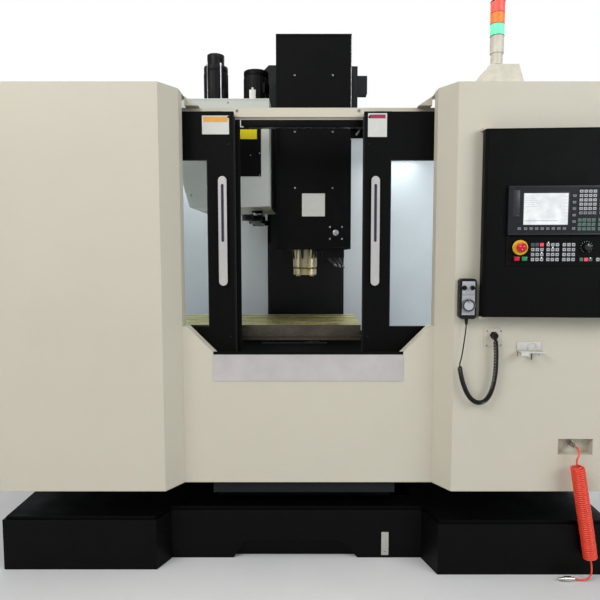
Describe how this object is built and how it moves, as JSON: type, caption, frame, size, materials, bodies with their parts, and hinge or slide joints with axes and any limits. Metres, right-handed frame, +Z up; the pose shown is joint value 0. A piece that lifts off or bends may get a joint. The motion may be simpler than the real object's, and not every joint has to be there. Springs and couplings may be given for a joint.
{
  "type": "cnc_machining_center",
  "caption": "Vertical CNC machining centre with a cream sheet-metal enclosure, black sliding doors, a tool magazine, a swinging operator panel and a tower light",
  "frame": {"origin": "On the floor, under the centre of the machine's bounding box", "axes": "+X is to the operator's right, +Y runs from the front to the rear, +Z is up"},
  "size_m": [2.712, 2.2166, 2.63],
  "materials": {
    "casting": "satin grey machine enamel over cast iron",
    "steel": "plain machined steel",
    "ground_steel": "ground steel with a thin oil film",
    "screw_steel": "hardened and ground",
    "spindle_steel": "ground steel with a warm tint",
    "motor_black": "satin black enamel",
    "black_paint": "satin black powder coat",
    "nozzle_black": "moulded, slightly rough",
    "cover_black": "wiped black sheet steel",
    "cover_steel": "brushed sheet steel",
    "pan_steel": "grey enamel",
    "inner_paint": "light enamel, satin",
    "cream_paint": "fine textured powder coat",
    "stainless": "brushed stainless sheet",
    "window_glass": "clear laminated safety glass",
    "light_paint": "light enamel, satin",
    "panel_black": "fine textured black powder coat",
    "unit_grey": "dark grey bezel",
    "screen_glass": "lit flat display",
    "key_plastic": "membrane keys",
    "button_red": "moulded red",
    "button_green": "moulded green",
    "knob_black": "moulded, fine grip",
    "pendant_plastic": "moulded case",
    "dial_grey": "turned grip",
    "socket_metal": "plated brass",
    "cord_black": "polyurethane sheath",
    "hose_orange": "polyurethane tube",
    "tower_body": "moulded lamp body on painted sheet",
    "tank_black": "gloss black enamel"
  },
  "bodies": {
    "base": {"bed": "casting", "levelling_feet": "steel", "column": "casting", "fixed_axis_motors": "motor_black", "way_covers_fixed": "cover_black", "chip_pan": "pan_steel", "inner_walls": "inner_paint", "left_front_panel": "cream_paint", "right_front_panel": "cream_paint", "lower_front_panel": "cream_paint", "outer_panels": "cream_paint", "kick_plate": "stainless", "door_beam": "cream_paint", "magazine_cover": "light_paint", "magazine_drive": "motor_black", "tool_arm": "spindle_steel", "pendant": "pendant_plastic", "panel_sockets": "socket_metal", "pendant_cord": "cord_black", "pendant_coil": "cord_black", "hose_ends": "hose_orange", "hose_coil": "hose_orange", "hose_connector": "socket_metal", "tower_light": "tower_body", "coolant_tank": "tank_black", "tank_fittings": "socket_metal", "electrical_cabinet": "cream_paint"},
    "saddle_body": {"saddle": "casting", "x_motor": "motor_black", "saddle_way_covers": "cover_steel"},
    "table_body": {"table": "ground_steel"},
    "head_body": {"head_casting": "casting", "head_cover": "black_paint", "spindle_cartridge": "ground_steel", "spindle_motor": "motor_black", "coolant_nozzles": "nozzle_black", "head_way_cover": "cover_black"},
    "spindle_body": {"spindle": "spindle_steel"},
    "x_screw_body": {"x_screw": "screw_steel"},
    "y_screw_body": {"y_screw": "screw_steel"},
    "z_screw_body": {"z_screw": "screw_steel"},
    "cover_a_body": {"way_covers_a": "cover_steel"},
    "cover_b_body": {"way_covers_b": "cover_steel"},
    "left_door_body": {"left_door": "black_paint", "left_window": "window_glass"},
    "right_door_body": {"right_door": "black_paint", "right_window": "window_glass"},
    "disc_body": {"magazine_disc": "casting"},
    "box_body": {"control_box": "panel_black", "cnc_unit": "unit_grey", "cnc_screen": "screen_glass", "panel_keys": "key_plastic"},
    "estop_body": {"estop_button": "button_red"},
    "start_body": {"start_button": "button_green"},
    "stop_body": {"stop_button": "button_red"},
    "override_body": {"override_knob": "knob_black"},
    "dial_body": {"pendant_dial": "dial_grey"},
    "axis_selector_body": {"axis_selector": "knob_black"},
    "step_selector_body": {"step_selector": "knob_black"},
    "cabinet_door_body": {"cabinet_door": "cream_paint"}
  },
  "joints": [
    {"name": "table_x", "type": "slide", "parent": "saddle_body", "child": "table_body", "axis": [1, 0, 0], "range_m": [-0.183, 0.617]},
    {"name": "saddle_y", "type": "slide", "parent": "base", "child": "saddle_body", "axis": [0, 1, 0], "range_m": [-0.16, 0.34]},
    {"name": "head_z", "type": "slide", "parent": "base", "child": "head_body", "axis": [0, 0, 1], "range_m": [-0.12, 0.38]},
    {"name": "x_screw_turn", "type": "hinge", "parent": "saddle_body", "child": "x_screw_body", "pos_m": [0, -0.35, 0.87], "axis": [1, 0, 0], "range_deg": [-4200, 14000]},
    {"name": "y_screw_turn", "type": "hinge", "parent": "base", "child": "y_screw_body", "pos_m": [-0.02, 0, 0.52], "axis": [0, 1, 0], "range_deg": [-4000, 8000]},
    {"name": "z_screw_turn", "type": "hinge", "parent": "base", "child": "z_screw_body", "pos_m": [-0.02, 0.395, 1.5], "axis": [0, 0, 1], "range_deg": [-3000, 9000]},
    {"name": "spindle_turn", "type": "hinge", "parent": "head_body", "child": "spindle_body", "pos_m": [-0.02, -0.26, 1.5], "axis": [0, 0, 1], "continuous": true},
    {"name": "cover_a_slide", "type": "slide", "parent": "base", "child": "cover_a_body", "axis": [0, 1, 0], "range_m": [-0.054, 0.114]},
    {"name": "cover_b_slide", "type": "slide", "parent": "base", "child": "cover_b_body", "axis": [0, 1, 0], "range_m": [-0.107, 0.227]},
    {"name": "left_door_slide", "type": "slide", "parent": "base", "child": "left_door_body", "axis": [1, 0, 0], "range_m": [-0.145, 0.335]},
    {"name": "right_door_slide", "type": "slide", "parent": "base", "child": "right_door_body", "axis": [1, 0, 0], "range_m": [-0.251, 0.235]},
    {"name": "magazine_turn", "type": "hinge", "parent": "base", "child": "disc_body", "pos_m": [-0.4, -0.26, 1.91], "axis": [1, 0, 0], "continuous": true},
    {"name": "box_swing", "type": "hinge", "parent": "base", "child": "box_body", "pos_m": [0.745, -1.024, 1.527], "axis": [0, 0, -1], "range_deg": [-3.5, 45]},
    {"name": "estop_push", "type": "slide", "parent": "box_body", "child": "estop_body", "axis": [0.061, 0.9981, 0], "range_m": [0, 0.005]},
    {"name": "start_push", "type": "slide", "parent": "box_body", "child": "start_body", "axis": [0.061, 0.9981, 0], "range_m": [0, 0.003], "stiffness_N_per_m": 600},
    {"name": "stop_push", "type": "slide", "parent": "box_body", "child": "stop_body", "axis": [0.061, 0.9981, 0], "range_m": [0, 0.003], "stiffness_N_per_m": 600},
    {"name": "override_turn", "type": "hinge", "parent": "box_body", "child": "override_body", "pos_m": [1.14243, -1.08638, 1.432], "axis": [0.061, 0.9981, 0], "range_deg": [-150, 150]},
    {"name": "dial_turn", "type": "hinge", "parent": "base", "child": "dial_body", "pos_m": [0.674, -1.05, 1.188], "axis": [0, 1, 0], "continuous": true},
    {"name": "axis_select", "type": "hinge", "parent": "base", "child": "axis_selector_body", "pos_m": [0.657, -1.05, 1.262], "axis": [0, 1, 0], "range_deg": [-60, 60]},
    {"name": "step_select", "type": "hinge", "parent": "base", "child": "step_selector_body", "pos_m": [0.691, -1.05, 1.262], "axis": [0, 1, 0], "range_deg": [-60, 60]},
    {"name": "cabinet_door_swing", "type": "hinge", "parent": "base", "child": "cabinet_door_body", "pos_m": [-0.512, 1.09626, 1.3], "axis": [0, 0, 1], "range_deg": [0, 110]}
  ],
  "couplings": [
    {"joint": "x_screw_turn", "follows": "table_x", "rad_per_m": 392.7},
    {"joint": "y_screw_turn", "follows": "saddle_y", "rad_per_m": 392.7},
    {"joint": "z_screw_turn", "follows": "head_z", "rad_per_m": 392.7},
    {"joint": "cover_a_slide", "follows": "saddle_y", "ratio": 0.33333},
    {"joint": "cover_b_slide", "follows": "saddle_y", "ratio": 0.66667}
  ]
}
